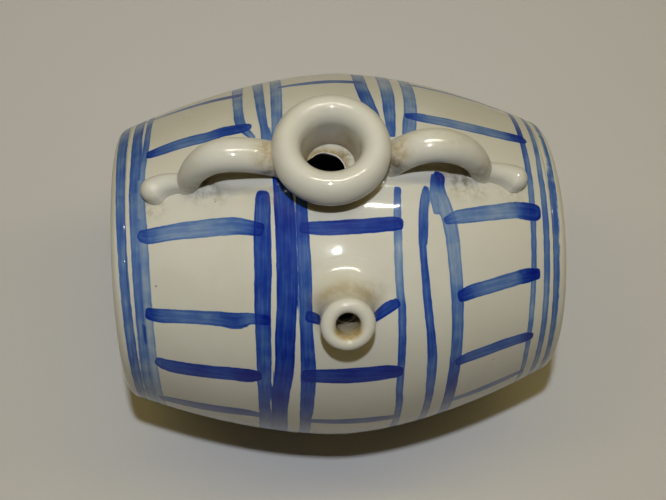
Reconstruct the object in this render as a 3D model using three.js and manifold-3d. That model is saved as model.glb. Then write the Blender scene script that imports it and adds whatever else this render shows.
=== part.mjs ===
// Ceramic keg: a thrown barrel lying on its belly, closed by two slab heads. A thick rolled collar
// stands round the mouth, two loop handles run from the collar down to the shoulders, each with a
// curled tail beyond its foot, and a short pouring spout stands on the front shoulder.
// Lengths are millimetres and angles degrees. +X runs along the barrel, +Y to the back, +Z up.
// The origin lies in the resting flat, under the middle of the barrel.

import * as THREE from 'three';
import { mergeVertices } from 'three/addons/utils/BufferGeometryUtils.js';
import Module from 'manifold-3d';

// Barrel
const barrelLength = 200;
const bilgeRadius = 87;
const leftHeadRadius = 63;
const rightHeadRadius = 59;
const bulgePower = 1.73;
const wallThickness = 6;
const restFlatDepth = 2.5;

// Heads, each a slab with a rounded rim and a locating ring that enters the barrel
const headThickness = 7;
const headEdgeRadius = 6;
const spigotDepth = 5;
const spigotWidth = 5;

// Mouth collar, whose bore narrows from its throat to its base, and the smaller hand-cut hole below it
const mouthX = -4.5;
const collarBoreRadius = 12.1;
const collarBaseRadius = 10.2;
const collarRollWidth = 12.7;
const collarRollHeight = 17.4;
const collarRise = 21;
const collarFootWidth = 5.4;
const mouthHoleRadius = 8.7;
const mouthHoleShiftX = -2.9;
const mouthHoleShiftY = -1.6;

// Handles: the crown's rise is measured from the bilge to the middle of the coil, and the root's drop
// from the crown to where the coil starts inside the collar
const handleCoilRadius = 7.2;
const handleFootRadius = 3.8;
const handleTaperPower = 1.5;
const handleFootDepth = 12;
const leftFootInset = 33.5;
const leftCrownRise = 11.3;
const leftRootDrop = 8;
const leftBend = 20;
const rightFootInset = 37.3;
const rightCrownRise = 12.6;
const rightRootDrop = 22;
const rightBend = 25;

// Curled tails of the handles: each sways to the back, then hooks to the front
const curlCoilRadius = 4.6;
const curlTipRadius = 6.2;
const curlLift = 2.3;
const leftCurlReach = 12.8;
const leftCurlSway = 2.4;
const leftCurlHook = 2;
const rightCurlReach = 13;
const rightCurlSway = 0.2;
const rightCurlHook = 0.8;

// Spout
const spoutX = -1.2;
const spoutTilt = 41.9;
const spoutRise = 17.5;
const spoutBoreRadius = 4.9;
const spoutLipWall = 6.35;
const spoutWaistWall = 5.4;
const spoutRootWall = 6.7;
const spoutHoleLedge = 0.5;

// Fits: the slip joint left between two luted pieces, and how far a tool runs past what it cuts
const jointGap = 0.3;
const cutMargin = 20;

// Facets
const barrelFacets = 56;
const barrelSteps = 20;
const boreSteps = 10;
const collarFacets = 40;
const collarRollSteps = 14;
const rimSteps = 4;
const spoutFacets = 28;
const spoutSteps = 5;
const coilSides = 14;
const handleSteps = 18;
const curlSteps = 6;
const holeFacets = 28;

const halfLength = barrelLength / 2;
const seamX = halfLength - headThickness;
const axisHeight = bilgeRadius - restFlatDepth;
const collarRollRadius = collarBoreRadius + collarRollWidth / 2;
const collarRollZ = bilgeRadius + collarRise - collarRollHeight / 2;
const cutFloor = bilgeRadius - wallThickness - cutMargin;

const wasm = await Module();
wasm.setup();

// Solids and meshes

function solidFrom(geometry) {
  const bare = geometry.clone();
  bare.deleteAttribute('normal');
  bare.deleteAttribute('uv');
  const merged = mergeVertices(bare);
  const corners = merged.index.array;
  const triangles = [];
  for (let i = 0; i < corners.length; i += 3) {
    const [a, b, c] = corners.slice(i, i + 3);
    if (a !== b && b !== c && c !== a) triangles.push(a, b, c);
  }
  return new wasm.Manifold(new wasm.Mesh({
    numProp: 3,
    vertProperties: merged.attributes.position.array,
    triVerts: new Uint32Array(triangles),
  }));
}

function glazedMesh(name, solid, colour) {
  const { vertProperties, triVerts } = solid.getMesh();
  const geometry = new THREE.BufferGeometry();
  geometry.setAttribute('position', new THREE.BufferAttribute(vertProperties, 3));
  geometry.setIndex(new THREE.BufferAttribute(triVerts, 1));
  geometry.computeVertexNormals();
  const glaze = new THREE.MeshStandardMaterial({ color: colour, roughness: 0.15, metalness: 0 });
  const mesh = new THREE.Mesh(geometry, glaze);
  mesh.name = name;
  return mesh;
}

// Turned shapes: a profile lists (radius, height) points
function turnedAboutZ(profile, facets) {
  return new THREE.LatheGeometry(profile, facets).rotateX(Math.PI / 2);
}

function turnedAboutX(profile, facets, side = 1) {
  return new THREE.LatheGeometry(profile, facets).rotateZ(-side * Math.PI / 2);
}

function ellipseArc(centreR, centreZ, semiR, semiZ, fromAngle, toAngle, steps) {
  const points = [];
  for (let i = 0; i <= steps; i++) {
    const angle = fromAngle + (toAngle - fromAngle) * i / steps;
    points.push(new THREE.Vector2(centreR + semiR * Math.cos(angle), centreZ + semiZ * Math.sin(angle)));
  }
  return points;
}

// Barrel

function headRadiusAt(x) {
  return x < 0 ? leftHeadRadius : rightHeadRadius;
}

function barrelRadius(x) {
  return bilgeRadius - (bilgeRadius - headRadiusAt(x)) * Math.abs(x / halfLength) ** bulgePower;
}

function bulgeLine(fromX, toX, steps, offset) {
  const points = [];
  for (let i = 0; i <= steps; i++) {
    const x = fromX + (toX - fromX) * i / steps;
    points.push(new THREE.Vector2(barrelRadius(x) + offset, x));
  }
  return points;
}

// The barrel's outside, grown by the slip joint, cuts the saddle of every piece that sits on it
function barrelSaddle() {
  const profile = [
    new THREE.Vector2(0, -halfLength),
    ...bulgeLine(-halfLength, halfLength, barrelSteps, jointGap),
    new THREE.Vector2(0, halfLength),
  ];
  return solidFrom(turnedAboutX(profile, barrelFacets));
}

function roundHole(radius, length) {
  return new THREE.CylinderGeometry(radius, radius, length, holeFacets).rotateX(Math.PI / 2);
}

function barrelWall() {
  const outside = bulgeLine(-seamX, seamX, barrelSteps, 0);
  const inside = bulgeLine(seamX, -seamX, boreSteps, -wallThickness);
  const shell = solidFrom(turnedAboutX([...outside, ...inside, outside[0]], barrelFacets));
  const holeLength = 2 * cutMargin + wallThickness;
  const mouthHole = roundHole(mouthHoleRadius, holeLength);
  mouthHole.translate(mouthX + mouthHoleShiftX, mouthHoleShiftY, bilgeRadius);
  const spoutHole = roundHole(spoutBoreRadius - spoutHoleLedge, holeLength).translate(0, 0, bilgeRadius);
  leanToSpout(spoutHole);
  const ground = new THREE.BoxGeometry(barrelLength, 2 * bilgeRadius, 2 * cutMargin);
  ground.translate(0, 0, -axisHeight - cutMargin);
  return shell.subtract(solidFrom(mouthHole)).subtract(solidFrom(spoutHole)).subtract(solidFrom(ground));
}

// Heads

function head(side) {
  const headRadius = headRadiusAt(side);
  const endSlope = bulgePower * (bilgeRadius - headRadius) / halfLength;
  const lean = Math.atan(endSlope);
  const edgeRadius = Math.min(headEdgeRadius, headThickness - jointGap);
  const arcX = halfLength - edgeRadius;
  const arcR = headRadius + endSlope * edgeRadius - edgeRadius * Math.hypot(1, endSlope);
  const innerFace = seamX + jointGap;
  const spigotEnd = seamX - spigotDepth;
  const spigotRadius = barrelRadius(side * seamX) - wallThickness - jointGap;
  const profile = [
    new THREE.Vector2(0, innerFace),
    new THREE.Vector2(spigotRadius - spigotWidth, innerFace),
    new THREE.Vector2(spigotRadius - spigotWidth, spigotEnd),
    new THREE.Vector2(spigotRadius, spigotEnd),
    new THREE.Vector2(spigotRadius, innerFace),
    new THREE.Vector2(barrelRadius(side * innerFace), innerFace),
    ...ellipseArc(arcR, arcX, edgeRadius, edgeRadius, lean, Math.PI / 2, rimSteps),
    new THREE.Vector2(0, halfLength),
  ];
  return solidFrom(turnedAboutX(profile, barrelFacets, side));
}

// Mouth collar

function collarOutline(growth) {
  const semiR = collarRollWidth / 2 + growth;
  const footR = collarBoreRadius + collarFootWidth + growth;
  const footAngle = -Math.acos((footR - collarRollRadius) / semiR);
  return { semiR, semiZ: collarRollHeight / 2 + growth, footR, footAngle };
}

function mouthCollar(saddle) {
  const { semiR, semiZ, footR, footAngle } = collarOutline(0);
  const foot = new THREE.Vector2(collarBaseRadius, cutFloor);
  const profile = [
    foot,
    new THREE.Vector2(footR, cutFloor),
    ...ellipseArc(collarRollRadius, collarRollZ, semiR, semiZ, footAngle, Math.PI, collarRollSteps),
    new THREE.Vector2(collarBaseRadius, bilgeRadius),
    foot,
  ];
  const ring = turnedAboutZ(profile, collarFacets).translate(mouthX, 0, 0);
  return solidFrom(ring).subtract(saddle);
}

// The collar's outside without its bore, grown by the slip joint, trims the handles' roots
function collarTrim() {
  const { semiR, semiZ, footR, footAngle } = collarOutline(jointGap);
  const profile = [
    new THREE.Vector2(0, cutFloor),
    new THREE.Vector2(footR, cutFloor),
    ...ellipseArc(collarRollRadius, collarRollZ, semiR, semiZ, footAngle, Math.PI / 2, collarRollSteps),
    new THREE.Vector2(0, collarRollZ + semiZ),
  ];
  return solidFrom(turnedAboutZ(profile, collarFacets).translate(mouthX, 0, 0));
}

// Handles

// Middle of a handle's coil: from inside the collar over the crown, then round into the shoulder
class HandleLine extends THREE.Curve {
  constructor(side, footInset, crownRise, rootDrop, bend) {
    super();
    this.side = side;
    this.footX = side * (halfLength - footInset);
    this.crownX = this.footX - side * bend;
    this.crownZ = bilgeRadius + crownRise;
    this.rootDrop = rootDrop;
    this.bend = bend;
    this.startX = mouthX + side * collarRollRadius;
    this.endZ = barrelRadius(this.footX) - handleFootDepth;
  }

  radiusAt(t) {
    const taper = Math.max(0, 2 * t - 1) ** handleTaperPower;
    return handleCoilRadius + (handleFootRadius - handleCoilRadius) * taper;
  }

  getPoint(t, target = new THREE.Vector3()) {
    if (t < 0.5) {
      const fall = 1 - 2 * t;
      const x = this.crownX + (this.startX - this.crownX) * fall;
      return target.set(x, 0, this.crownZ - this.rootDrop * fall ** 2);
    }
    const turn = (t - 0.5) * Math.PI;
    const x = this.crownX + this.side * this.bend * Math.sin(turn);
    return target.set(x, 0, this.endZ + (this.crownZ - this.endZ) * Math.cos(turn));
  }
}

// A round coil of clay along a path, as thick at each point as the path's own radius plus growth
function coil(path, steps, growth) {
  const { normals, binormals } = path.computeFrenetFrames(steps, false);
  const points = [];
  const triangles = [];
  const ringPoint = (i, j) => i * coilSides + (j + coilSides) % coilSides;
  for (let i = 0; i <= steps; i++) {
    const middle = path.getPointAt(i / steps);
    const radius = path.radiusAt(path.getUtoTmapping(i / steps)) + growth;
    for (let j = 0; j < coilSides; j++) {
      const angle = 2 * Math.PI * j / coilSides;
      const point = middle.clone().addScaledVector(normals[i], radius * Math.cos(angle));
      points.push(point.addScaledVector(binormals[i], radius * Math.sin(angle)));
      if (i === steps) continue;
      triangles.push(ringPoint(i, j), ringPoint(i, j + 1), ringPoint(i + 1, j + 1));
      triangles.push(ringPoint(i, j), ringPoint(i + 1, j + 1), ringPoint(i + 1, j));
    }
  }
  for (let j = 1; j < coilSides - 1; j++) {
    triangles.push(ringPoint(0, 0), ringPoint(0, j + 1), ringPoint(0, j));
    triangles.push(ringPoint(steps, 0), ringPoint(steps, j), ringPoint(steps, j + 1));
  }
  const geometry = new THREE.BufferGeometry().setFromPoints(points);
  geometry.setIndex(triangles);
  return solidFrom(geometry);
}

function handle(path, saddle) {
  return coil(path, handleSteps, 0).subtract(collarTrim()).subtract(saddle);
}

// Curled tails

// Middle of a tail, along the shoulder from the handle's foot
class CurlLine extends THREE.Curve {
  constructor(handlePath, reach, sway, hook) {
    super();
    this.footX = handlePath.footX;
    this.side = handlePath.side;
    this.reach = reach;
    this.sway = sway;
    this.hook = hook;
  }

  radiusAt(t) {
    return curlCoilRadius + (curlTipRadius - curlCoilRadius) * t;
  }

  getPoint(t, target = new THREE.Vector3()) {
    const x = this.footX + this.side * this.reach * t;
    const y = this.sway * t - this.hook * t ** 3;
    return target.set(x, y, Math.sqrt((barrelRadius(x) + curlLift) ** 2 - y ** 2));
  }
}

function curl(path, handlePath, saddle) {
  const tip = path.getPoint(1);
  const tipBall = new THREE.SphereGeometry(curlTipRadius, coilSides, coilSides / 2);
  tipBall.translate(tip.x, tip.y, tip.z);
  const tail = coil(path, curlSteps, 0).add(solidFrom(tipBall));
  return tail.subtract(coil(handlePath, handleSteps, jointGap)).subtract(saddle);
}

// Spout

function leanToSpout(geometry) {
  return geometry.rotateX(THREE.MathUtils.degToRad(spoutTilt)).translate(spoutX, 0, 0);
}

function spout(saddle) {
  const rollSemi = spoutLipWall / 2;
  const rollR = spoutBoreRadius + rollSemi;
  const rollZ = bilgeRadius + spoutRise - rollSemi;
  const rootR = spoutBoreRadius + spoutRootWall;
  const lipR = spoutBoreRadius + spoutLipWall;
  const waistPull = 2 * (spoutBoreRadius + spoutWaistWall) - (rootR + lipR) / 2;
  const neck = new THREE.QuadraticBezierCurve(
    new THREE.Vector2(rootR, bilgeRadius),
    new THREE.Vector2(waistPull, (bilgeRadius + rollZ) / 2),
    new THREE.Vector2(lipR, rollZ),
  ).getPoints(spoutSteps);
  const foot = new THREE.Vector2(spoutBoreRadius, cutFloor);
  const profile = [
    foot,
    new THREE.Vector2(rootR, cutFloor),
    ...neck,
    ...ellipseArc(rollR, rollZ, rollSemi, rollSemi, 0, Math.PI, 2 * spoutSteps).slice(1),
    foot,
  ];
  return solidFrom(leanToSpout(turnedAboutZ(profile, spoutFacets))).subtract(saddle);
}

// Assembly

const saddle = barrelSaddle();
const leftPath = new HandleLine(-1, leftFootInset, leftCrownRise, leftRootDrop, leftBend);
const rightPath = new HandleLine(1, rightFootInset, rightCrownRise, rightRootDrop, rightBend);
const leftCurlPath = new CurlLine(leftPath, leftCurlReach, leftCurlSway, leftCurlHook);
const rightCurlPath = new CurlLine(rightPath, rightCurlReach, rightCurlSway, rightCurlHook);

const keg = new THREE.Group();
keg.add(
  glazedMesh('barrel_wall', barrelWall(), '#e3dec8'),
  glazedMesh('left_head', head(-1), '#dcd6bf'),
  glazedMesh('right_head', head(1), '#dcd6bf'),
  glazedMesh('mouth_collar', mouthCollar(saddle), '#e9e5d2'),
  glazedMesh('left_handle', handle(leftPath, saddle), '#e6e1cd'),
  glazedMesh('right_handle', handle(rightPath, saddle), '#e6e1cd'),
  glazedMesh('left_handle_curl', curl(leftCurlPath, leftPath, saddle), '#e4dfca'),
  glazedMesh('right_handle_curl', curl(rightCurlPath, rightPath, saddle), '#e4dfca'),
  glazedMesh('spout', spout(saddle), '#e8e4d1'),
);
keg.position.z = axisHeight;

export default keg;
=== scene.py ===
"""The glazed and hand-painted surface of a ceramic keg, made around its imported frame."""
import math

import bmesh
import bpy
import numpy as np
from mathutils import Matrix, Vector


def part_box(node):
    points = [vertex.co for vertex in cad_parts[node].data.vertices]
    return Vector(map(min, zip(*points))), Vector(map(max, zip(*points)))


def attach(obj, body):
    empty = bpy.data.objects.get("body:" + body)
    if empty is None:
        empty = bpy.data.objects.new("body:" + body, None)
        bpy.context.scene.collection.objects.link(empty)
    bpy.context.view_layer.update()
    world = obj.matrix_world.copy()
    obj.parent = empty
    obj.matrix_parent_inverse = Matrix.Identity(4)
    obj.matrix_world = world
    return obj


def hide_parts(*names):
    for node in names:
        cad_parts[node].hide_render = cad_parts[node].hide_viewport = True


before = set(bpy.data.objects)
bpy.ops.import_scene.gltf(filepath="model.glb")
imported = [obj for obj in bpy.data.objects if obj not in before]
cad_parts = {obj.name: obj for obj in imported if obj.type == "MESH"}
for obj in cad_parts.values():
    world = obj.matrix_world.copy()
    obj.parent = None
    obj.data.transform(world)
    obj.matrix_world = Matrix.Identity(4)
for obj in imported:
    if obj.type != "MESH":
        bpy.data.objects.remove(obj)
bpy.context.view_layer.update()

# Sizes in millimetres, measured from the middle of the barrel's axis

# The barrel's form, the seams where its heads begin, and how deep other pieces are set into it
MM = 0.001
HALF_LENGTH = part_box("right_head")[1].x / MM
BILGE_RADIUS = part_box("barrel_wall")[1].y / MM
LEFT_HEAD_RADIUS = 63.0
RIGHT_HEAD_RADIUS = 59.0
BULGE_POWER = 1.73
WALL = 6.0
REST_FLAT_DEPTH = 2.5
AXIS_HEIGHT = BILGE_RADIUS - REST_FLAT_DEPTH
SEAM_X = 93.15
SINK = 0.6

# The barrel's mesh and the waver of its wall, the edges of its holes and the plugs that cut them
BARREL_STEPS_ALONG = 176
BARREL_STEPS_INSIDE = 12
BARREL_STEPS_ROUND = 460
BARREL_WOBBLE = 0.12
WAVER_ALONG = 18.0
WAVER_SCALE = 2.2
HOLE_STEPS_ROUND = 64
HOLE_ROUNDING = 1.7
HOLE_ROUNDING_RISE = 0.8
HOLE_FLARE_BELOW = 1.5
CUTTER_BRIM = 3.0
CUTTER_SPARE = 6.0

# The slabs that close the ends
HEAD_EDGE_RADIUS = 6.0
HEAD_DISH = 1.4
HEAD_RIDGE = 0.12
HEAD_RIDGE_PITCH = 5.5
HEAD_RIDGE_FADE = 8.0
HEAD_INNER_FACE = 93.3
SPIGOT_DEPTH = 5.0
SPIGOT_WIDTH = 5.0
SPIGOT_GAP = 0.3
HEAD_STEPS_ROUND = 360
HEAD_EDGE_STEPS = 20
HEAD_FACE_STEPS = 80

# The collar, whose base flares by so much at a height on the barrel, and the mouth hole under it
MOUTH_X = -4.5
COLLAR_BORE_RADIUS = 12.1
COLLAR_BASE_RADIUS = 10.2
COLLAR_BASE_FLARE = [(0.6, -SINK), (0.1, 0.6)]
COLLAR_ROLL_RADIUS = 18.45
COLLAR_ROLL_Z = 99.3
COLLAR_ROLL_SEMI_R = 6.35
COLLAR_ROLL_SEMI_Z = 8.7
COLLAR_FOOT_RADIUS = 17.5
COLLAR_FILLET = 1.0
COLLAR_THROAT_Z = 88.6
COLLAR_SKIRT = 1.0
COLLAR_WOBBLE = 0.12
COLLAR_STEPS_ROUND = 160
COLLAR_ROLL_STEPS = 60
MOUTH_HOLE_RADIUS = 8.7
MOUTH_HOLE_X = MOUTH_X - 2.9
MOUTH_HOLE_Y = -2.6
MOUTH_HOLE_FLARE = 3.2
MOUTH_HOLE_UNEVEN = 0.03

# The spout, with heights S along its tilted axis, and the hole under it
SPOUT_X = -1.2
SPOUT_TILT = math.radians(41.9)
SPOUT_BORE_RADIUS = 4.9
SPOUT_LIP_RADIUS = 11.25
SPOUT_LIP_S = 104.5
SPOUT_WAIST_RADIUS = 10.3
SPOUT_ROOT_RADIUS = 10.9
SPOUT_FILLET_LOW = 4.5
SPOUT_FILLET_HIGH = 13.0
SPOUT_HOLE_RADIUS = 4.4
SPOUT_HOLE_FLARE = 0.6
SPOUT_HOLE_UNEVEN = 0.02
SPOUT_BORE_FOOT = 0.8
SPOUT_BORE_S = 90.0
SPOUT_SKIRT = 1.5
SPOUT_WOBBLE = 0.08
SPOUT_STEPS_ROUND = 120
SPOUT_LIP_STEPS = 20

# The coils of the handles and of their tails
HANDLE_RADIUS = 7.2
HANDLE_FOOT_RADIUS = 3.8
HANDLE_TAPER_POWER = 1.5
HANDLE_FOOT_DEPTH = 12.0
HANDLE_FILLET = 1.2
CURL_RADIUS = 3.9
CURL_TIP_RADIUS = 5.6
CURL_LIFT = 2.3
CURL_FILLET = 2.8
CURL_TIP_LEAST = 0.02
HANDLE_STEPS = 96
CURL_STEPS = 40
COIL_SIDES = 40

# Each handle: side, foot X, crown Z, how far the root drops, bend, then its tail's reach, sway and hook
HANDLES = {
    "left": dict(side=-1, foot_x=-66.5, crown_z=98.3, root_drop=8.0, bend=20.0,
                 reach=13.4, sway=2.4, hook=3.4),
    "right": dict(side=1, foot_x=62.7, crown_z=99.6, root_drop=22.0, bend=25.0,
                  reach=13.5, sway=0.4, hook=2.2),
}

# Clay smeared from the collar along the barrel under each handle: start X, tip X, angle from the top to the
# front, half width and height. Then how many degrees it bends back by the tip, the shares of its length that
# are round at the tip and fade in at the start, and how far in the surface still counts as the outside
SMEARS = [(-24.0, -54.5, 4.4, 3.8, 3.4), (17.0, 46.6, 3.2, 4.0, 2.5)]
SMEAR_BEND = 2.6
SMEAR_ROUND_SHARE = 0.25
SMEAR_FADE = 0.1
SMEAR_SKIN = 0.5

# Hoops of cobalt: points of a brush stroke as angle from the top to the front, X, half width, strength
HOOPS = {
    "left_rim": [(0, -95.1, 2.1, .50), (30, -94.2, 2.1, .50), (60, -93.5, 2.2, .6), (90, -93.3, 2.1, .6),
                 (150, -94, 2, .5), (220, -95, 2, .5), (300, -95.8, 2.2, .5), (330, -95.6, 2.3, .5),
                 (360, -95.1, 2.1, .5)],
    "left_inner": [(0, -88.8, 2.4, .55), (20, -88.2, 2.3, .45), (50, -88.2, 1.9, .55),
                   (80, -88.5, 1.8, .4), (150, -88.5, 2, .45), (240, -89, 2.2, .55),
                   (320, -88.9, 2.2, .65), (345, -88.7, 2.3, .65), (360, -88.8, 2.4, .55)],
    "left_thin": [(0, -86, 1.8, .3), (20, -85, 2.2, .3), (50, -84.5, 2, .25), (80, -84.5, 1.8, .25),
                  (150, -84, 1.6, .3), (240, -84, 1.4, .4), (300, -84, 1.3, .5), (335, -84.1, 1.4, .5),
                  (350, -85.3, 1.5, .35), (360, -86, 1.8, .3)],
    "left_first": [(8.5, -33.4, 2.9, 1.05), (11, -33.6, 3.3, .95), (20, -34.3, 3.6, .9),
                   (30, -34.6, 3.6, .9), (40, -35.4, 3.4, .95), (60, -36, 3.1, .8), (80, -36.8, 2.5, .85),
                   (100, -37.2, 2.6, .6), (140, -38, 2.8, .6), (180, -38.5, 2.8, .5), (230, -40, 2.8, .5),
                   (280, -42.5, 2.7, .4), (310, -43.3, 2.6, .35), (330, -42.9, 2.2, .4),
                   (340, -41.8, 2.2, .6), (345, -38.5, 1.6, .5), (347, -36.5, 1.0, .4)],
    "left_second": [(4, -25.2, 3.7, 1.05), (12, -24.7, 4.1, 1.05), (20, -24.6, 4.2, 1.05),
                    (30, -24.7, 4.3, 1.), (40, -25.4, 4.2, 1.05), (50, -26.6, 4.2, 1.15),
                    (60, -27.3, 4, 1.25), (70, -29.2, 3.8, 1.3), (80, -30.1, 3.5, 1.2),
                    (90, -30.4, 3.6, .9), (140, -31, 3.5, .7), (200, -32, 3.3, .6), (260, -33.5, 3, .5),
                    (300, -34, 2.6, .45), (320, -33.6, 2.3, .45), (335, -32.6, 2, .5),
                    (344, -31.5, 1.8, .6), (349, -30.5, 2.6, .45)],
    "left_third": [(7, -17, 2.2, 1.), (12, -17.5, 2.5, .95), (20, -17.5, 2.6, .8), (30, -17.3, 2.8, .7),
                   (40, -17.5, 2.6, .75), (50, -17.5, 2.8, .85), (60, -17.2, 3.2, 1.),
                   (70, -17.7, 3.1, 1.), (80, -18.3, 2.9, .95), (90, -18.8, 2.5, .8), (150, -20, 2.6, .6),
                   (220, -22.5, 2.6, .5), (290, -25.4, 2.6, .35), (325, -25.6, 2.6, .4),
                   (340, -25.9, 2.4, .4), (350, -27, 1.8, .4)],
    "right_first": [(8, 23.2, 1.5, .75), (12, 22.6, 1.6, .5), (25, 21.9, 1.8, .3), (36, 22, 1.7, .35),
                    (42, 22.8, 1.7, .65), (55, 22.9, 1.7, .8), (70, 22.5, 1.6, .7), (85, 23, 1.6, .6),
                    (140, 21, 2, .6), (220, 17, 2.4, .55), (280, 13.5, 2.8, .55), (320, 12.8, 2.9, .55),
                    (330, 13.6, 3, .6), (336, 14.8, 2.8, .6), (342, 16.5, 2.5, .5)],
    "right_second": [(7, 35.4, .9, .7), (10, 34.6, 1.8, .6), (16, 33.5, 2.1, .65), (23, 32.7, 1.9, .85),
                     (26, 32.5, 1.5, .75), (40, 33.8, 1.8, .75), (50, 35.3, 1.8, .9),
                     (60, 36.5, 2.2, .85), (70, 36.6, 2.1, .7), (85, 36.5, 1.8, .65), (140, 34, 2.2, .6),
                     (220, 29, 2.6, .5), (280, 25, 3, .4), (320, 24.3, 3.1, .4), (330, 24.2, 3, .45),
                     (340, 23.5, 2.6, .55), (349, 23, 1.8, .55)],
    "right_third": [(4.2, 41.6, 2.6, 1.1), (6.2, 41.2, 2.6, .85), (9, 41.8, 2.6, .5), (12, 43, 3, .4),
                    (20, 45.3, 3.1, .35), (30, 46.3, 2.9, .35), (40, 47.1, 2.8, .5), (50, 47.4, 2.6, .55),
                    (60, 47.4, 2.6, .7), (70, 47, 2.6, 1.), (80, 46.7, 2.6, 1.), (90, 46.4, 2.6, .7),
                    (150, 44, 2.8, .5), (220, 38.5, 3, .45), (280, 35, 3, .35), (320, 34.6, 2.9, .35),
                    (335, 33.6, 2.9, .35), (345, 31.5, 3, .35), (349, 30, 2.2, .4)],
    "right_third_stray": [(4, 39.2, 1.3, .7), (9, 38.4, 1.5, .45), (14, 39.4, 1.6, .35)],
    "left_drip": [(49, -86.9, .6, .9), (52, -86.6, 1.2, 1.1), (55, -86.4, 1.0, .9), (60, -86.3, .5, .6)],
    "right_thin": [(0, 84.2, 1.5, .42), (25, 83.2, 1.3, .38), (50, 82.4, 1.3, .38), (70, 82.1, 1.2, .42),
                   (90, 82.4, 1.1, .4), (180, 83, 1.2, .45), (300, 84.5, 1.2, .6), (330, 84.6, 1.3, .75),
                   (360, 84.2, 1.5, .5)],
    "right_inner": [(0, 90, 1.4, .4), (30, 89.4, 1.5, .4), (60, 89.1, 1.4, .45), (90, 88.8, 1.3, .45),
                    (200, 89.5, 1.2, .4), (320, 91, 1.1, .4), (360, 89.8, 1.3, .4)],
    "right_rim": [(0, 95, 1.8, .45), (30, 94.4, 1.8, .45), (60, 94.4, 1.7, .45), (90, 94.5, 1.6, .4),
                  (200, 95, 1.5, .45), (330, 95.5, 1.5, .45), (360, 95, 1.6, .45)],
}

# Stave strokes between the hoops: points as X, angle, half width, strength
STAVES = [
    [(-85, -46, 1.6, .5), (-70, -44.5, 2.4, .5), (-55, -42.5, 2.4, .7), (-43, -40, 2.2, .9)],
    [(-81.5, -17, 2.4, .95), (-77, -17.2, 3, .7), (-68, -17.8, 3.3, .55), (-56, -17.6, 3.2, .65),
     (-50, -18.2, 3.2, .9), (-42, -18, 2.9, .95), (-38.8, -18, 1.8, .9)],
    [(-85.2, 16, 2.2, .75), (-82, 16.6, 3.3, .7), (-72, 16, 3.5, .44), (-60, 15.9, 3.8, .46),
     (-48, 15.9, 3.8, .52), (-41, 16.6, 3.2, .75), (-36.4, 17.4, 3, 1.1)],
    [(-83, 44.3, 2.8, 1.05), (-79, 44.6, 3.2, .85), (-72, 44.3, 3.1, .58), (-62, 44.2, 3.1, .56),
     (-54, 44.3, 3.3, .75), (-47, 44.6, 3.6, .9), (-42, 43.9, 2.6, .6), (-38, 43.8, 2.4, .85),
     (-35, 44, 2.4, 1.2)],
    [(-81, 64.4, 2.6, .85), (-76, 65.3, 3.8, 1.1), (-60, 64.8, 3.8, 1.1), (-50, 64.3, 3.9, 1.1),
     (-44, 64.2, 3.9, 1.5), (-40, 63.9, 2.8, 1.5)],
    [(-82, 89.5, 3, .8), (-75, 88.6, 4, .85), (-55, 86.2, 4, .9), (-45, 85, 3.4, .9),
     (-39, 85.6, 2.4, .8)],
    [(-23, -39.5, 1.5, .6), (-5, -39.2, 2.2, .6), (12, -38.8, 2, .7)],
    [(-16.5, 18, 2.4, .9), (-8, 18.4, 3, 1.05), (8, 18.3, 3.1, 1.05), (20, 17.8, 3, 1.),
     (22.4, 17.9, 2.2, 1.1)],
    [(-15.2, 43, 2.7, 1.), (-14.2, 43.1, 2.7, 1.15)],
    [(12.4, 43.2, 2.5, 1.1), (16.5, 41.6, 2.7, 1.15), (19.8, 40.5, 2.2, 1.15)],
    [(-16.5, 62.6, 3.6, 1.2), (0, 62.7, 4.3, 1.3), (15, 62.8, 4.1, 1.35), (21, 63.2, 2.8, 1.4)],
    [(-17, 86, 2.2, .9), (0, 86.2, 2.8, .9), (12, 87, 3.2, .95), (22, 87.8, 2.4, .95)],
    [(37, -44.5, 1.8, .7), (60, -46, 2, .5), (83, -48, 1.6, .5)],
    [(32, -19.8, 1.8, .85), (37, -19.8, 3, .75), (42, -19.7, 3, .45), (60, -19.6, 3.1, .4),
     (75, -20, 3, .45), (79, -20.5, 2.9, .85), (83, -20.8, 2.8, .95), (85.5, -21, 1.4, .9)],
    [(43.8, 16.9, 1.6, .8), (50, 15.7, 3, .55), (65, 14, 3.4, .38), (75, 12.8, 3.6, .45),
     (79, 12.8, 3.8, .85), (82.6, 13, 4, 1.05), (84.4, 13, 3.2, 1.05)],
    [(50, 40.2, 2.8, 1.05), (53.4, 39.6, 3.2, .95), (57, 39.1, 3.2, .6), (70, 37.6, 3.2, .52),
     (76, 36.9, 3.2, .65), (79, 36.7, 3.2, 1.1), (83.4, 36.6, 2.6, 1.25)],
    [(49.5, 64.2, 2.4, 1.), (54, 63.5, 3, .95), (68, 62.5, 3, .62), (77, 62.4, 2.8, .7),
     (80, 62.6, 2.6, 1.1), (82.6, 62.9, 1.8, 1.2)],
    [(46, 86.4, 2.2, .7), (60, 86.4, 2.8, .6), (72, 86, 2.8, .6), (81, 85.6, 2, .65)],
]

# The panels between the hoops, the angles and number of the staves on the far side of each, then how strokes
# are measured, and how fine their bristle streaks, frayed edges and loading are across and along
STAVE_PANELS = [(-84.5, -40), (-20, 20), (41, 83)]
UNSEEN_FROM = 114.0
UNSEEN_TO = 294.0
UNSEEN_COUNT = 8
UNSEEN_SEED = 7
PAINT_REACH = 6.0
PAINT_LEAST_RADIUS = 55.0
STROKE_STEP = 1.5
BRISTLE_STRETCH = (0.85, 0.045)
FRAY_STRETCH = (0.12, 0.22)
LOADING_STRETCH = (0.1, 0.09)

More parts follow.
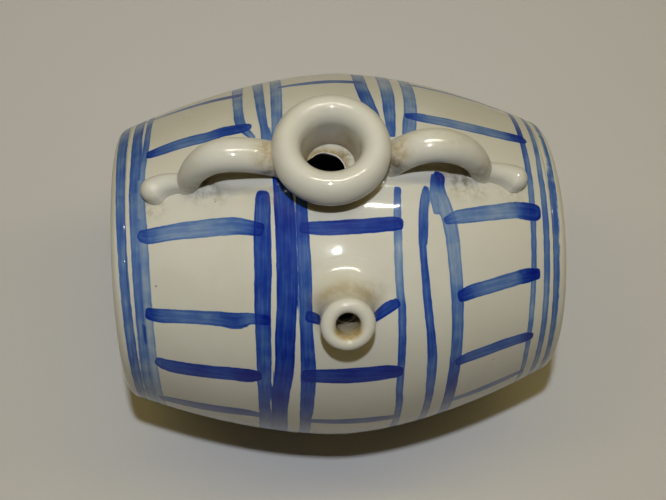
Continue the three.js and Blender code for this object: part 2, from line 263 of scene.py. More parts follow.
# Smudges on the barrel, partly kiln dirt and partly painted shade under the handles, their tails and the
# collar:
# X, angle, reach, strength
GRIME_AND_SHADE = [(-57.7, 2.6, 6, .9), (-62, 2, 5, .6), (-53, 6, 5, .45), (-30, 8.5, 3, .3), (46, 3, 4, .6),
         (51.8, 4.2, 6, .9), (58, 6, 5, .6), (-80, 6, 5, .5), (74, 5, 6, .4), (12, 36, 6, .2),
         (2, -3, 4, .9), (5, -2.6, 3, .8), (-.3, -1.4, 3, .9), (-6, -6, 3, .35)]

# Rust and grime round the spout, in its bore and on the mouth hole's rim, and the spout's unpainted neck. The
# dark in the uphill half of the spout's bore is painted shade, and the rim's stain is partly painted shade:
# strengths, distances from the hole's axis, heights along it, and how far uphill or downhill they fade in
CRESCENT_RUST = 0.62
CRESCENT_RADIUS = 12.4
CRESCENT_WIDTH = 2.8
CRESCENT_TOP = 101.0
CRESCENT_FADE = (1, 9)
DRIP_RUST = 1.3
DRIP_RADIUS = 5.3
DRIP_WIDTH = 1.1
DRIP_BOTTOM = 97.0
DRIP_FADE = (-3, 4)
BORE_RUST = 0.8
BORE_PAINTED_SHADE = 1.2
BORE_STAIN_RADIUS = 5.2
BORE_STAIN_BOTTOM = 80.0
BORE_PAINTED_SHADE_FADE = (-4, 0)
RIM_RUST_AND_SHADE = 0.9
RIM_GRIME_AND_SHADE_SHARE = 0.6
RIM_STAIN_RADIUS = 9.0
RIM_STAIN_WIDTH = 2.0
RIM_STAIN_BOTTOM = 78.0
BARE_NECK_RADIUS = 12.5
BARE_NECK_BOTTOM = 95.0

# Light carried through one full coat of cobalt, then the colours of glaze and dirt, and of the painted shade
# that darkens the glaze towards the floor. The two dirt colours also stand for painted shade in creases,
# under the handles and their tails and deep in the bores
COBALT = (0.024, 0.085, 0.56)
CREAM = (0.490, 0.466, 0.366)
CREAM_PALE = (0.556, 0.537, 0.448)
CREAM_WARM = (0.455, 0.410, 0.270)
DIRT_AND_SHADE = (0.090, 0.060, 0.028)
SMUDGE_AND_SHADE = (0.150, 0.106, 0.048)
LOW_PAINTED_SHADE = (0.096, 0.086, 0.058)
RUST = (0.290, 0.210, 0.080)

# The weight of the clear coat, and the strength of stain, dirt and painted shade at which it begins to dull
# and at which it is gone. Then the share of the painted shade that darkens the glaze towards the floor, and
# the heights in metres between which it fades
GLOSS = 0.6
DULLED_BY = (0.4, 0.85)
LOW_PAINTED_SHADE_SHARE = 0.4
LOW_PAINTED_SHADE_FADE = (0.055, 0.135)

# Stains at the joints, in metres: centre, reach, strength, colour. Then the painted shade that darkens the
# collar's bore towards its base, and the heights between which it fades
# The dark stains where the handles' roots and feet meet the collar and the barrel are painted shade in those
# creases
JOINT_STAINS_AND_SHADE = {
    "left": [((-0.029, -0.003, 0.1875), 0.011, 0.9, RUST), ((-0.0605, -0.002, 0.165), 0.011, 0.6, DIRT_AND_SHADE),
             ((-0.030, -0.007, 0.1785), 0.006, 0.8, DIRT_AND_SHADE)],
    "right": [((0.0205, -0.003, 0.1865), 0.011, 0.9, RUST), ((0.0575, -0.002, 0.167), 0.011, 0.6, DIRT_AND_SHADE),
              ((0.0215, -0.007, 0.1785), 0.007, 0.9, DIRT_AND_SHADE), ((0.046, 0.001, 0.191), 0.012, 0.3, RUST)],
}
COLLAR_STAINS = [((0.004, 0.009, 0.176), 0.008, 0.6, RUST), ((-0.026, -0.003, 0.178), 0.006, 0.6, RUST),
                 ((0.019, -0.003, 0.178), 0.006, 0.6, RUST)]
COLLAR_BASE_PAINTED_SHADE = 0.75
COLLAR_BASE_SHADE_FADE = (0.1705, 0.188)

# The floor: half its side in metres, its colour in front and far back, where it is painted lighter to make up
# for the lamp's fall-off, the tone of its darker patches, and the distances in metres between which it turns
# to the far colour
FLOOR_HALF = 3.0
FLOOR_COLOUR = (0.530, 0.512, 0.465)
FLOOR_FAR_PAINTED_LIGHT = (0.605, 0.600, 0.590)
FLOOR_SHADE = 0.86
FLOOR_PAINTED_LIGHT_FADE = (-0.1, 0.35)


# Shapes

def barrel_radius(x):
    """The barrel's outside radius, which falls from the bilge to each head."""
    head = np.where(x < 0, LEFT_HEAD_RADIUS, RIGHT_HEAD_RADIUS)
    return BILGE_RADIUS - (BILGE_RADIUS - head) * np.abs(x / HALF_LENGTH) ** BULGE_POWER


def height_on_barrel(x, across):
    """Distance from the axis plane to the barrel's outside, above a point beside the axis."""
    return np.sqrt(barrel_radius(x) ** 2 - across ** 2)


def smooth_step(value, low, high):
    """Rises smoothly from 0 at the low value to 1 at the high one."""
    t = np.clip((value - low) / (high - low), 0, 1)
    return t * t * (3 - 2 * t)


def band(value, middle, width):
    """1 in the middle of a soft band, and less and less beside it."""
    return np.exp(-((value - middle) / width) ** 2)


def round_steps(count):
    """Even angles once round."""
    return np.linspace(0, 2 * math.pi, count, endpoint=False)


def arc(centre, semi, start, end, steps):
    """Points of an ellipse's arc, from one angle to another."""
    turn = np.linspace(start, end, steps + 1)
    return [(centre[0] + semi[0] * math.cos(a), centre[1] + semi[1] * math.sin(a)) for a in turn]


def resampled(points, spacing):
    """A smooth line through hand-set points, as evenly as the spacing asks, one value per column."""
    points = np.asarray(points, float)
    padded = np.vstack([2 * points[0] - points[1], points, 2 * points[-1] - points[-2]])
    rows = []
    for before, start, end, after in zip(padded, padded[1:], padded[2:], padded[3:]):
        count = max(2, int(np.abs(end - start)[:2].max() / spacing))
        t = np.linspace(0, 1, count, endpoint=False)[:, None]
        rows.append(0.5 * (2 * start + (end - before) * t
                           + (2 * before - 5 * start + 4 * end - after) * t ** 2
                           + (3 * start - before - 3 * end + after) * t ** 3))
    return np.vstack(rows + [points[-1:]])


def mesh_points(mesh):
    """The points of a mesh as rows of X, Y and Z."""
    points = np.zeros(len(mesh.vertices) * 3)
    mesh.vertices.foreach_get("co", points)
    return points.reshape(-1, 3)


def new_piece(name, points, faces, material):
    """A smooth mesh object in the part's frame from points in millimetres about the axis."""
    mesh = bpy.data.meshes.new(name)
    placed = np.asarray(points, float) * MM + (0, 0, AXIS_HEIGHT * MM)
    mesh.from_pydata(placed.tolist(), [], faces)
    merged = bmesh.new()
    merged.from_mesh(mesh)
    bmesh.ops.remove_doubles(merged, verts=merged.verts, dist=1e-6)
    bmesh.ops.recalc_face_normals(merged, faces=merged.faces)
    merged.to_mesh(mesh)
    merged.free()
    mesh.polygons.foreach_set("use_smooth", [True] * len(mesh.polygons))
    mesh.materials.append(material)
    piece = bpy.data.objects.new(name, mesh)
    bpy.context.scene.collection.objects.link(piece)
    return piece


def sheet_faces(rows, columns, close_rows):
    """Quads of a sheet of points whose columns join round, and whose rows may too."""
    faces = []
    for row in range(rows if close_rows else rows - 1):
        this, following = row * columns, (row + 1) % rows * columns
        for column in range(columns):
            beside = (column + 1) % columns
            faces.append((this + column, this + beside, following + beside, following + column))
    return faces


def leaned(x, across, rise, tilt):
    """Points at a height along an axis that leans to the front, and beside it."""
    y = across * math.cos(tilt) - rise * math.sin(tilt)
    z = across * math.sin(tilt) + rise * math.cos(tilt)
    return np.stack([x, y, z], 1)


def turned(profile, around, centre_x, tilt, wobble):
    """Points of a piece turned on a wheel, standing on the barrel with its axis tilted to the front.

    A profile point is a radius, a height along the axis, and whether that height is counted from the
    barrel's surface or from its axis. The radius and the height may change around the piece.
    """
    rows = []
    for radius, height, seated in profile:
        waver = 1 + wobble * (np.sin(2 * around + 0.7) + 0.6 * np.sin(3 * around + 2.1)) / radius
        along = radius * waver * np.cos(around)
        across = radius * waver * np.sin(around)
        seat = height_on_barrel(centre_x + along, across)
        rise = seat + height if seated else np.zeros_like(around) + height
        rows.append(leaned(centre_x + along, across, rise, tilt))
    return np.vstack(rows), sheet_faces(len(profile), len(around), True)


# Node trees

class Tree:
    """Adds nodes to a node tree, and joins or sets their inputs."""

    def __init__(self, tree):
        self.tree = tree

    def add(self, kind, inputs=None, **settings):
        node = self.tree.nodes.new(kind)
        for name, value in settings.items():
            setattr(node, name, value)
        for name, value in (inputs or {}).items():
            self.feed(node.inputs[name], value)
        return node

    def feed(self, socket, value):
        if isinstance(value, bpy.types.NodeSocket):
            self.tree.links.new(value, socket)
        else:
            socket.default_value = value

    def math(self, operation, a, b=0.0, c=0.0):
        return self.add("ShaderNodeMath", {0: a, 1: b, 2: c}, operation=operation).outputs[0]

    def plus(self, a, b):
        return self.math("ADD", a, b)

    def minus(self, a, b):
        return self.math("SUBTRACT", a, b)

    def times(self, a, b):
        return self.math("MULTIPLY", a, b)

    def above(self, a, b):
        return self.add("FunctionNodeCompare", {0: a, 1: b}, operation="GREATER_THAN").outputs[0]

    def choose(self, test, no, yes):
        inputs = {"Switch": test, "False": no, "True": yes}
        return self.add("GeometryNodeSwitch", inputs, input_type="FLOAT").outputs[0]

    def between(self, value, low, high, to_low=0.0, to_high=1.0, kind="SMOOTHSTEP"):
        inputs = {"Value": value, "From Min": low, "From Max": high, "To Min": to_low, "To Max": to_high}
        return self.add("ShaderNodeMapRange", inputs, interpolation_type=kind).outputs["Result"]


class Shader(Tree):
    """A material of its own, with the textures that the glazes share."""

    def __init__(self, name):
        self.material = bpy.data.materials.new(name)
        self.material.use_nodes = True
        super().__init__(self.material.node_tree)
        self.tree.nodes.clear()
        self.place = self.add("ShaderNodeTexCoord").outputs["Object"]

    def attribute(self, name):
        return self.add("ShaderNodeAttribute", attribute_name=name).outputs["Fac"]

    def coordinate(self, axis):
        return self.add("ShaderNodeSeparateXYZ", {0: self.place}).outputs[axis]

    def noise(self, scale, detail, roughness, vector=None):
        inputs = {"Vector": vector or self.place, "Scale": scale, "Detail": detail, "Roughness": roughness}
        return self.add("ShaderNodeTexNoise", inputs).outputs["Fac"]

    def brush_noise(self, across, along, stretch, layer, detail, roughness):
        inputs = {0: self.times(across, stretch[0]), 1: self.times(along, stretch[1]), 2: layer}
        return self.noise(1.0, detail, roughness, self.add("ShaderNodeCombineXYZ", inputs).outputs[0])

    def mix(self, share, a, b, blend="MIX"):
        node = self.add("ShaderNodeMix", data_type="RGBA", blend_type=blend)
        self.feed(node.inputs["Factor"], share)
        for socket, value in zip((node.inputs[6], node.inputs[7]), (a, b)):
            self.feed(socket, (*value, 1.0) if isinstance(value, tuple) else value)
        return node.outputs[2]

    def surface(self, inputs):
        finish = self.add("ShaderNodeBsdfPrincipled", inputs)
        self.add("ShaderNodeOutputMaterial", {0: finish.outputs[0]})
        return self.material


def cream_glaze(shader, paleness):
    """The bare glaze's colour: cream with pale and warm clouds and iron specks, with painted shade towards
    the floor.
    """
    clouds = shader.noise(scale=22.0, detail=4.0, roughness=0.6)
    warmth = shader.noise(scale=38.0, detail=5.0, roughness=0.65)
    colour = shader.mix(shader.between(clouds, 0.42, 0.72, paleness, paleness + 0.5), CREAM, CREAM_PALE)
    colour = shader.mix(shader.between(warmth, 0.52, 0.78, 0.0, 0.4), colour, CREAM_WARM)
    cells = shader.add("ShaderNodeTexVoronoi", {"Vector": shader.place, "Scale": 75.0, "Randomness": 1.0})
    chosen = shader.add("ShaderNodeSeparateColor", {"Color": cells.outputs["Color"]}).outputs["Red"]
    rare = shader.math("GREATER_THAN", chosen, 0.9)
    dot = shader.between(cells.outputs["Distance"], 0.018, 0.045, 1.0, 0.0)
    speck = shader.times(shader.times(rare, dot), 0.75)
    # Painted shade: the glaze is darker towards the floor
    low_shade = shader.between(shader.coordinate("Z"), *LOW_PAINTED_SHADE_FADE, LOW_PAINTED_SHADE_SHARE, 0.0)
    colour = shader.mix(low_shade, colour, LOW_PAINTED_SHADE)
    return shader.mix(speck, colour, DIRT_AND_SHADE)


def glossy_glaze(shader, colour, gloss=GLOSS):
    """Closes a material as a clear, slightly uneven glaze over the given colour."""
    ripple = shader.noise(scale=55.0, detail=2.0, roughness=0.4)
    grain = shader.noise(scale=420.0, detail=2.0, roughness=0.5)
    height = shader.plus(ripple, shader.times(grain, 0.07))
    bump = shader.add("ShaderNodeBump", {"Height": height, "Strength": 0.22, "Distance": 0.0009})
    return shader.surface({
        "Base Color": colour, "Roughness": 0.3, "Normal": bump.outputs[0], "Specular IOR Level": 0.05,
        "Coat Weight": gloss, "Coat Roughness": 0.06, "Coat IOR": 1.5, "Coat Normal": bump.outputs[0]})


def brush_coat(shader, layer):
    """How much cobalt a layer of strokes leaves: ragged edges, pooled rims and bristle streaks."""
    edge = shader.attribute(layer + "_edge")
    across = shader.attribute(layer + "_across")
    along = shader.attribute(layer + "_along")
    strength = shader.attribute(layer + "_strength")
    bristles = shader.brush_noise(across, along, BRISTLE_STRETCH, layer=3.7, detail=3.0, roughness=0.6)
    fray = shader.brush_noise(across, along, FRAY_STRETCH, layer=9.1, detail=2.0, roughness=0.5)
    loading = shader.brush_noise(across, along, LOADING_STRETCH, layer=5.3, detail=2.0, roughness=0.5)
    ragged = shader.math("MULTIPLY_ADD", shader.minus(fray, 0.5), 0.55, edge)
    cover = shader.between(ragged, -0.22, 0.2, 1.0, 0.0)
    pooled = shader.between(ragged, -1.2, -0.2, 0.0, 0.14)
    wash = shader.between(shader.noise(scale=60.0, detail=3.0, roughness=0.6), 0.3, 0.7, -0.1, 0.1)
    streaks = shader.between(bristles, 0.3, 0.7, 0.82, 1.16)
    swell = shader.between(loading, 0.3, 0.7, 0.86, 1.14)
    full = shader.times(strength, shader.times(streaks, swell))
    body = shader.plus(full, shader.plus(pooled, wash))
    return shader.times(cover, shader.math("MAXIMUM", body, 0.08))


def through_cobalt(shader, hoops, staves):
    """Light that comes back through the cobalt, which hardly thickens where two strokes cross."""
    least = shader.math("MINIMUM", hoops, staves)
    coat = shader.math("MULTIPLY_ADD", least, 0.2, shader.math("MAXIMUM", hoops, staves))
    red, green, blue = (shader.math("POWER", channel, coat) for channel in COBALT)
    return shader.add("ShaderNodeCombineColor", {0: red, 1: green, 2: blue}).outputs[0]


def painted_glaze(name, paleness):
    """Cream glaze under the cobalt strokes, with the rust, grime and painted shade that paint() puts on a
    piece.
    """
    shader = Shader(name)
    cream = cream_glaze(shader, paleness)
    patches = shader.between(shader.noise(scale=190.0, detail=4.0, roughness=0.7), 0.36, 0.64)
    cobalt = through_cobalt(shader, brush_coat(shader, "hoop"), brush_coat(shader, "stave"))
    colour = shader.mix(1.0, cream, cobalt, "MULTIPLY")
    blotches = shader.between(patches, 0.0, 1.0, 0.6, 1.0, "LINEAR")
    rust_and_shade, grime_and_shade = shader.attribute("rust_and_shade"), shader.attribute("grime_and_shade")
    colour = shader.mix(shader.times(rust_and_shade, blotches), colour, RUST)
    # Smudges of dirt and painted shade under the handles, their tails and the collar, and deep in the bores
    colour = shader.mix(shader.times(grime_and_shade, patches), colour, SMUDGE_AND_SHADE)
    gloss = shader.between(shader.math("MAXIMUM", rust_and_shade, grime_and_shade), *DULLED_BY, GLOSS, 0.0)
    return glossy_glaze(shader, colour, gloss)


def plain_glaze(name, paleness, stains, base_shade_fade=None):
    """Cream glaze with stains (centre, reach, strength, colour), some painted shade in creases, and painted
    shade fading up a base.
    """
    shader = Shader(name)
    colour = cream_glaze(shader, paleness)
    patches = shader.between(shader.noise(scale=230.0, detail=4.0, roughness=0.7), 0.34, 0.66, 0.35, 1.0)
    for centre, reach, strength, stain_colour in stains:
        away = shader.add("ShaderNodeVectorMath", {0: shader.place, 1: centre}, operation="DISTANCE")
        near = shader.between(away.outputs["Value"], 0.2 * reach, reach, strength, 0.0)
        colour = shader.mix(shader.times(near, patches), colour, stain_colour)
    if base_shade_fade is not None:
        # Painted shade, darker down the collar's bore towards its base
        shaded = shader.between(shader.coordinate("Z"), *base_shade_fade, COLLAR_BASE_PAINTED_SHADE, 0.0)
        colour = shader.mix(shaded, colour, SMUDGE_AND_SHADE)
    return glossy_glaze(shader, colour)


def floor_cloth():
    """A plain, dull pale cloth, painted a little lighter towards the back to make up for the lamp's fall-off.
    """
    shader = Shader("pale_floor")
    soft = shader.between(shader.noise(scale=5.0, detail=4.0, roughness=0.6), 0.3, 0.7, 0.0, 0.25)
    fine = shader.between(shader.noise(scale=900.0, detail=2.0, roughness=0.6), 0.3, 0.7, 0.0, 0.14)
    share = shader.plus(soft, fine)
    colour = shader.mix(share, FLOOR_COLOUR, tuple(FLOOR_SHADE * c for c in FLOOR_COLOUR))
    # Painted light: the floor turns lighter towards the back
    colour = shader.mix(shader.between(shader.coordinate("Y"), *FLOOR_PAINTED_LIGHT_FADE), colour, FLOOR_FAR_PAINTED_LIGHT)
    return shader.surface({"Base Color": colour, "Roughness": 0.9, "Specular IOR Level": 0.15})


# Paint

def stroke_rows(points, hoop):
    """A stroke as rows of X, angle, half width and strength, close enough together to measure to."""
    rows = resampled(points, STROKE_STEP)
    return rows[:, [1, 0, 2, 3]] if hoop else rows


def unseen_staves():
    """Stave strokes on the far side, at the pitch of the near ones, each a little different."""
    draw = np.random.default_rng(UNSEEN_SEED)
    strokes = []
    for low, high in STAVE_PANELS:
        for angle in np.linspace(UNSEEN_FROM, UNSEEN_TO, UNSEEN_COUNT):
            start, end, lean, tilt = draw.uniform(-1.5, 1.5, 4)
            half, strength = draw.uniform(2.2, 3.2), draw.uniform(.4, .8)
            x = np.array([low, low + 5, (low + high) / 2, high - 5, high]) + [start, start, 0, end, end]
            turn = angle + lean + tilt * np.linspace(-.5, .5, 5)
            width = half * np.array([.5, 1, 1.05, 1, .5])
            tone = strength * np.array([1.3, 1.1, .9, 1.2, 1.5])
            strokes.append(np.stack([x, turn, width, tone], 1))
    return strokes


def measure_stroke(x, angle, radius, rows):
    """For each point near one stroke: distance to its edge, then place across and along it, and strength."""
    edge = np.full(len(x), 1e9)
    found = np.zeros((3, len(x)))
    per_degree = np.radians(1) * radius
    run = 0.0
    for start, end in zip(rows, rows[1:]):
        from_x, from_turn = x - start[0], (angle - start[1]) * per_degree
        step_x, step_turn = end[0] - start[0], (end[1] - start[1]) * per_degree
        length = np.hypot(step_x, step_turn) + 1e-9
        forth = (from_x * step_x + from_turn * step_turn) / length
        share = np.clip(forth / length, 0, 1)
        beyond = np.abs(forth - share * length)
        aside = from_x * step_turn - from_turn * step_x
        beside = np.abs(aside) / length
        away = (beside ** 4 + beyond ** 4) ** 0.25
        to_edge = away - (start[2] + (end[2] - start[2]) * share)
        strength = start[3] + (end[3] - start[3]) * share
        closer = to_edge < edge
        edge = np.where(closer, to_edge, edge)
        found = np.where(closer, np.stack([np.sign(aside) * away, run + share * length, strength]), found)
        run += float(np.mean(length))
    return edge, found


def measure_strokes(x, angle, radius, strokes):
    """For each point: distance to the nearest stroke's edge, place across and along it, and strength."""
    edge = np.full(len(x), PAINT_REACH)
    found = np.zeros((3, len(x)))
    for rows in strokes:
        low, high = rows.min(0), rows.max(0)
        margin = high[2] + PAINT_REACH
        turn_margin = math.degrees(margin / PAINT_LEAST_RADIUS)
        for turn in (angle - 360, angle, angle + 360):
            near = np.nonzero((x > low[0] - margin) & (x < high[0] + margin)
                              & (turn > low[1] - turn_margin) & (turn < high[1] + turn_margin))[0]
            if not len(near):
                continue
            near_edge, near_found = measure_stroke(x[near], turn[near], radius[near], rows)
            better = near_edge < edge[near]
            edge[near[better]] = near_edge[better]
            found[:, near[better]] = near_found[:, better]
    return edge, *found


def about_spout(points):
    """Distance from the spout's axis, how far up the barrel from it, and height along it."""
    uphill = points[:, 1] * math.cos(SPOUT_TILT) + points[:, 2] * math.sin(SPOUT_TILT)
    rise = points[:, 2] * math.cos(SPOUT_TILT) - points[:, 1] * math.sin(SPOUT_TILT)
    return np.hypot(points[:, 0] - SPOUT_X, uphill), uphill, rise


def dirt_and_painted_shade(x, angle, radius):
    """How much dirt and painted shade lie on each point of the barrel."""
    dirt = np.zeros_like(x)
    for at_x, at_angle, reach, strength in GRIME_AND_SHADE:
        away = np.hypot(x - at_x, np.radians(angle - at_angle) * radius)
        dirt = np.maximum(dirt, strength * band(away, 0, reach))
    return dirt


def hole_stains(points):
    """Rust, grime and painted shade on each point: above the spout, below its bore, in it, and on the mouth
    hole's rim.
    """
    away, uphill, rise = about_spout(points)
    crescent = CRESCENT_RUST * band(away, CRESCENT_RADIUS, CRESCENT_WIDTH)
    crescent *= smooth_step(uphill, *CRESCENT_FADE) * (rise < CRESCENT_TOP)
    drip = DRIP_RUST * band(away, DRIP_RADIUS, DRIP_WIDTH)
    drip *= smooth_step(-uphill, *DRIP_FADE) * (rise > DRIP_BOTTOM)
    # Painted shade darkens the uphill half of the spout's bore; the rim's stain is dirt and partly painted
    # shade
    bore = (away < BORE_STAIN_RADIUS) & (rise > BORE_STAIN_BOTTOM)
    from_hole = np.hypot(points[:, 0] - MOUTH_HOLE_X, points[:, 1] - MOUTH_HOLE_Y)
    rim = RIM_RUST_AND_SHADE * band(from_hole, RIM_STAIN_RADIUS, RIM_STAIN_WIDTH) * (points[:, 2] > RIM_STAIN_BOTTOM)
    rust_and_shade = np.max([crescent, drip, rim, BORE_RUST * bore], axis=0)
    grime_and_shade = np.maximum(RIM_GRIME_AND_SHADE_SHARE * rim, BORE_PAINTED_SHADE * bore * smooth_step(uphill, *BORE_PAINTED_SHADE_FADE))
    return rust_and_shade, grime_and_shade


def paint(piece):
    """Stores on a piece where each stroke runs over it, where rust and dirt have settled, and where shade is
    painted.
    """
    mesh = piece.data
    points = mesh_points(mesh) / MM - (0, 0, AXIS_HEIGHT)
    x = points[:, 0]
    angle = np.degrees(np.arctan2(-points[:, 1], points[:, 2]))
    radius = barrel_radius(x)
    away, _, rise = about_spout(points)
    bare = (away < BARE_NECK_RADIUS) & (rise > BARE_NECK_BOTTOM)
    hoops = [stroke_rows(stroke, True) for stroke in HOOPS.values()]
    staves = [stroke_rows(stroke, False) for stroke in STAVES + unseen_staves()]
    fields = {}
    for layer, strokes in (("hoop", hoops), ("stave", staves)):
        edge, across, along, strength = measure_strokes(x, angle, radius, strokes)
        fields[layer + "_edge"] = np.where(bare, PAINT_REACH, edge)
        fields[layer + "_across"] = across
        fields[layer + "_along"] = along
        fields[layer + "_strength"] = strength
    fields["rust_and_shade"], grime_and_shade = hole_stains(points)
    fields["grime_and_shade"] = np.maximum(grime_and_shade, dirt_and_painted_shade(x, angle, radius))
    for name, value in fields.items():
        mesh.attributes.new(name, "FLOAT", "POINT").data.foreach_set("value", value.astype(np.float32))


# Barrel

def barrel_tree():
    """Geometry nodes of a bulged wall: a sheet rolled into its outside, then back along its inside."""
    group = bpy.data.node_groups.new("bulged_barrel", "GeometryNodeTree")
    floats = ["Half Length", "Bilge Radius", "Left Head Radius", "Right Head Radius", "Bulge Power", "Wall",
              "Seam X", "Axis Height", "Wobble"]
    for name in floats:
        group.interface.new_socket(name, in_out="INPUT", socket_type="NodeSocketFloat")
    for name in ("Steps Along", "Steps Inside", "Steps Round"):
        group.interface.new_socket(name, in_out="INPUT", socket_type="NodeSocketInt")
    group.interface.new_socket("Glaze", in_out="INPUT", socket_type="NodeSocketMaterial")
    group.interface.new_socket("Barrel", in_out="OUTPUT", socket_type="NodeSocketGeometry")
    tree = Tree(group)
    sizes = tree.add("NodeGroupInput").outputs
    rows = tree.plus(tree.plus(sizes["Steps Along"], sizes["Steps Inside"]), 3.0)
    columns = tree.plus(sizes["Steps Round"], 1.0)
    grid = tree.add("GeometryNodeMeshGrid", {
        "Size X": 1.0, "Size Y": 1.0, "Vertices X": rows, "Vertices Y": columns})
    position = tree.add("GeometryNodeInputPosition").outputs[0]
    flat = tree.add("ShaderNodeSeparateXYZ", {0: position}).outputs
    row = tree.times(tree.plus(flat[0], 0.5), tree.minus(rows, 1.0))
    row = tree.math("ROUND", row)
    back = tree.minus(row, tree.plus(sizes["Steps Along"], 1.0))
    seam = sizes["Seam X"]
    double = tree.times(seam, 2.0)
    going = tree.minus(tree.times(double, tree.math("DIVIDE", row, sizes["Steps Along"])), seam)
    coming = tree.minus(seam, tree.times(double, tree.math("DIVIDE", back, sizes["Steps Inside"])))
    inside = tree.above(back, -0.5)
    closing = tree.above(back, tree.plus(sizes["Steps Inside"], 0.5))
    x = tree.choose(closing, tree.choose(inside, going, coming), tree.times(seam, -1.0))
    depth = tree.choose(closing, tree.choose(inside, 0.0, sizes["Wall"]), 0.0)
    angle = tree.times(flat[1], 2 * math.pi)
    sine, cosine = tree.math("SINE", angle), tree.math("COSINE", angle)
    share = tree.math("POWER", tree.math("ABSOLUTE", tree.math("DIVIDE", x, sizes["Half Length"])),
                      sizes["Bulge Power"])
    head = tree.choose(tree.above(x, 0.0), sizes["Left Head Radius"], sizes["Right Head Radius"])
    fall = tree.times(tree.minus(sizes["Bilge Radius"], head), share)
    spot = tree.add("ShaderNodeCombineXYZ", {0: tree.times(x, WAVER_ALONG), 1: sine, 2: cosine}).outputs[0]
    uneven = tree.add("ShaderNodeTexNoise", {"Vector": spot, "Scale": WAVER_SCALE, "Detail": 1.0})
    waver = tree.times(tree.minus(uneven.outputs["Fac"], 0.5), sizes["Wobble"])
    radius = tree.plus(tree.minus(tree.minus(sizes["Bilge Radius"], fall), depth), waver)
    low = tree.times(sizes["Axis Height"], -1.0)
    z = tree.plus(tree.math("MAXIMUM", tree.times(radius, cosine), low), sizes["Axis Height"])
    y = tree.times(tree.times(radius, sine), -1.0)
    place = tree.add("ShaderNodeCombineXYZ", {0: x, 1: y, 2: z}).outputs[0]
    rolled = tree.add("GeometryNodeSetPosition", {"Geometry": grid.outputs[0], "Position": place}).outputs[0]
    closed = tree.add("GeometryNodeMergeByDistance", {"Geometry": rolled, "Distance": 1e-6}).outputs[0]
    real = tree.add("GeometryNodeRealizeInstances", {0: closed}).outputs[0]
    glazed = tree.add("GeometryNodeSetMaterial", {"Geometry": real, "Material": sizes["Glaze"]}).outputs[0]
    tree.add("NodeGroupOutput", {0: glazed})
    return group


def set_inputs(modifier, values):
    """Sets a tree's named inputs by their identifiers."""
    for item in modifier.node_group.interface.items_tree:
        if item.in_out == "INPUT" and item.name in values:
            modifier[item.identifier] = values[item.name]


def hole_cutter(name, radius, centre, tilt, flare, uneven):
    """A closed plug that cuts a hand-cut hole: its upper edge rounded, its wall flaring to the inside."""
    edge = (radius + HOLE_ROUNDING, BILGE_RADIUS - HOLE_ROUNDING + HOLE_ROUNDING_RISE)
    brim = edge[0] + CUTTER_BRIM
    top = BILGE_RADIUS + CUTTER_SPARE
    inner = BILGE_RADIUS - WALL
    profile = [(0.0, top), (brim, top), (brim, BILGE_RADIUS + HOLE_ROUNDING_RISE)]
    profile += arc(edge, (-HOLE_ROUNDING, HOLE_ROUNDING), math.pi / 2, 0, 6)
    profile += [(radius + flare, inner - HOLE_FLARE_BELOW), (radius + flare, inner - CUTTER_SPARE),
                (0.0, inner - CUTTER_SPARE)]
    around = round_steps(HOLE_STEPS_ROUND)
    rough = 1 + uneven * (np.sin(2 * around + 0.4) + 0.6 * np.sin(5 * around) + 0.5 * np.sin(7 * around + 2))
    rows = []
    for reach, height in profile:
        x = reach * rough * np.cos(around) + centre[0]
        across = reach * rough * np.sin(around) + centre[1]
        rows.append(leaned(x, across, height, tilt))
    return new_piece(name, np.vstack(rows), sheet_faces(len(profile), HOLE_STEPS_ROUND, False), glaze_wall)


def raise_smears(mesh):
    """Lifts the barrel's outside where clay was smeared from the collar under the handles."""
    points = mesh_points(mesh)
    x, across, height = points[:, 0] / MM, points[:, 1] / MM, points[:, 2] / MM - AXIS_HEIGHT
    around = np.hypot(across, height)
    outside = (around > barrel_radius(x) - SMEAR_SKIN) & (height > 0)
    lift = np.zeros_like(x)
    for start, tip, angle, half, rise in SMEARS:
        reach = (x - start) / (tip - start)
        middle = np.radians(angle - SMEAR_BEND * reach ** 2)
        side = (np.arctan2(-across, height) - middle) * around / half
        into_tip = np.maximum(reach - (1 - SMEAR_ROUND_SHARE), 0) / SMEAR_ROUND_SHARE
        domed = np.sqrt(np.clip(1 - np.hypot(side, into_tip) ** 2, 0, 1))
        lift = np.maximum(lift, rise * domed * smooth_step(reach, -SMEAR_FADE, SMEAR_FADE))
    lift = np.where(outside, lift, 0.0)
    points[:, 1:] += np.stack([across, height], 1) * (lift / np.maximum(around, 1e-9) * MM)[:, None]
    mesh.vertices.foreach_set("co", points.ravel())
    mesh.update()


